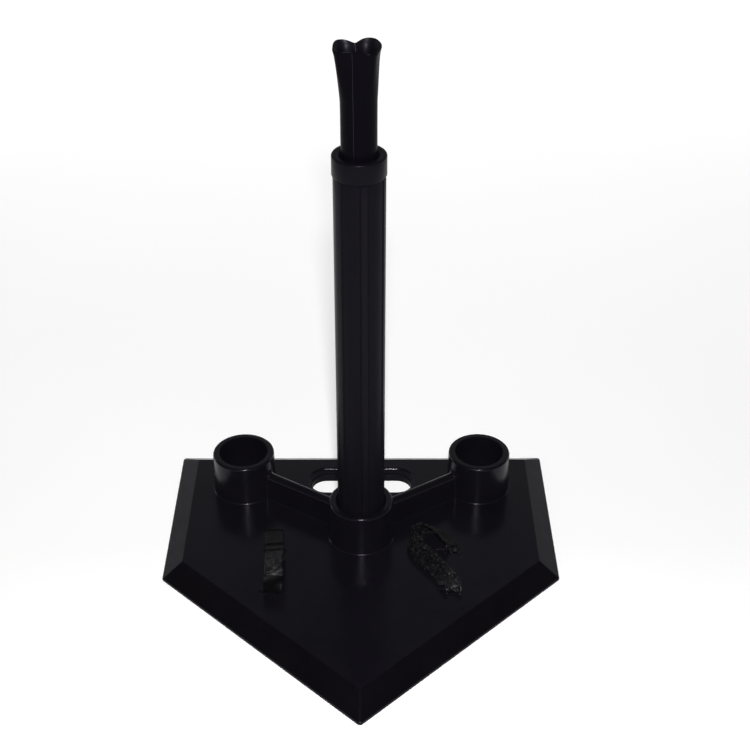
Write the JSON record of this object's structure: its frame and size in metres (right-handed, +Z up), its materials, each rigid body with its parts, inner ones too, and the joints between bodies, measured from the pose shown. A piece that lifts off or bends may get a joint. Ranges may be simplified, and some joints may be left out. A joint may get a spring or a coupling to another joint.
{
  "type": "batting tee",
  "caption": "Rubber batting tee: home-plate base with tube sockets, fluted standing tube with collar, telescoping ball tube with folded cup, hook-and-loop carrying straps.",
  "frame": {"origin": "on the ground under the axis of the centre socket", "axes": "+Z up along the standing tube, +X to the batter's right across the plate, +Y towards the plate's straight back edge and the handle slot; the plate's point is towards -Y"},
  "size_m": [0.432, 0.4213, 0.5845],
  "materials": {
    "base_rubber": "satin",
    "tube_rubber": "satin",
    "cup_rubber": "satin",
    "ring_plastic": "satin",
    "webbing": "matte",
    "loop_tape": "matte",
    "hook_tape": "matte"
  },
  "bodies": {
    "base": {"base_plate": "base_rubber", "left_strap_run": "webbing", "right_strap_run": "webbing", "right_strap_front_tail": "webbing", "right_strap_back_tail": "webbing", "right_loop_patch": "loop_tape", "right_hook_patch": "hook_tape"},
    "standing_tube": {"main_tube": "tube_rubber", "tube_collar": "tube_rubber"},
    "guide": {"guide_ring": "ring_plastic"},
    "ball_tube": {"ball_tube": "cup_rubber"},
    "left_front_tail": {"left_strap_front_tail": "webbing", "left_loop_patch": "loop_tape"},
    "left_back_tail": {"left_strap_back_tail": "webbing", "left_hook_patch": "hook_tape"}
  },
  "joints": [
    {"name": "tube_lift", "type": "slide", "parent": "base", "child": "standing_tube", "axis": [0, 0, 1], "range_m": [0, 0.08]},
    {"name": "height_adjust", "type": "slide", "parent": "standing_tube", "child": "guide", "axis": [0, 0, 1], "range_m": [-0.05, 0.33]},
    {"name": "cup_swivel", "type": "hinge", "parent": "guide", "child": "ball_tube", "pos_m": [0, 0, 0.1025], "axis": [0, 0, 1], "continuous": true},
    {"name": "left_front_tail_fold", "type": "hinge", "parent": "base", "child": "left_front_tail", "pos_m": [-0.0945, -0.093, 0.0195], "axis": [0.999, 0.0436, 0], "range_deg": [0, 75]},
    {"name": "left_back_tail_fold", "type": "hinge", "parent": "base", "child": "left_back_tail", "pos_m": [-0.0945, -0.03, 0.0195], "axis": [0.9962, 0.0872, 0], "range_deg": [0, 60]}
  ]
}
